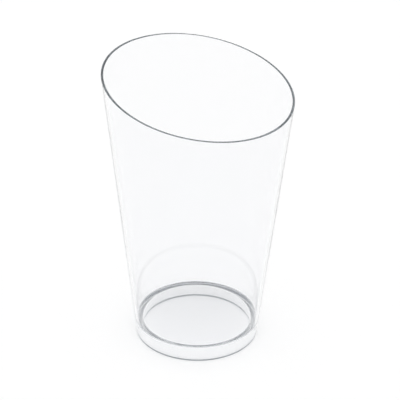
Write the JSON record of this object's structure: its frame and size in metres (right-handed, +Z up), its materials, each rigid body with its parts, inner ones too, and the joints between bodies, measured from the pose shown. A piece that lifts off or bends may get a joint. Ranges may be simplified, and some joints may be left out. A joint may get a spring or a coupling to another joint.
{
  "type": "appetizer cup",
  "caption": "Clear moulded appetizer cup with a straight tapered wall, a slanted rim and a raised floor on a hollow foot, for serving small portions.",
  "frame": {"origin": "on the cup's axis, in the plane that the foot stands on", "axes": "+Z up along the cup's axis, -X towards the high side of the rim, +X towards its low side"},
  "size_m": [0.0501, 0.05, 0.0793],
  "materials": {
    "clear_plastic": "clear, glossy, injection-moulded polystyrene"
  },
  "bodies": {
    "root": {"cup": "clear_plastic"}
  },
  "joints": []
}
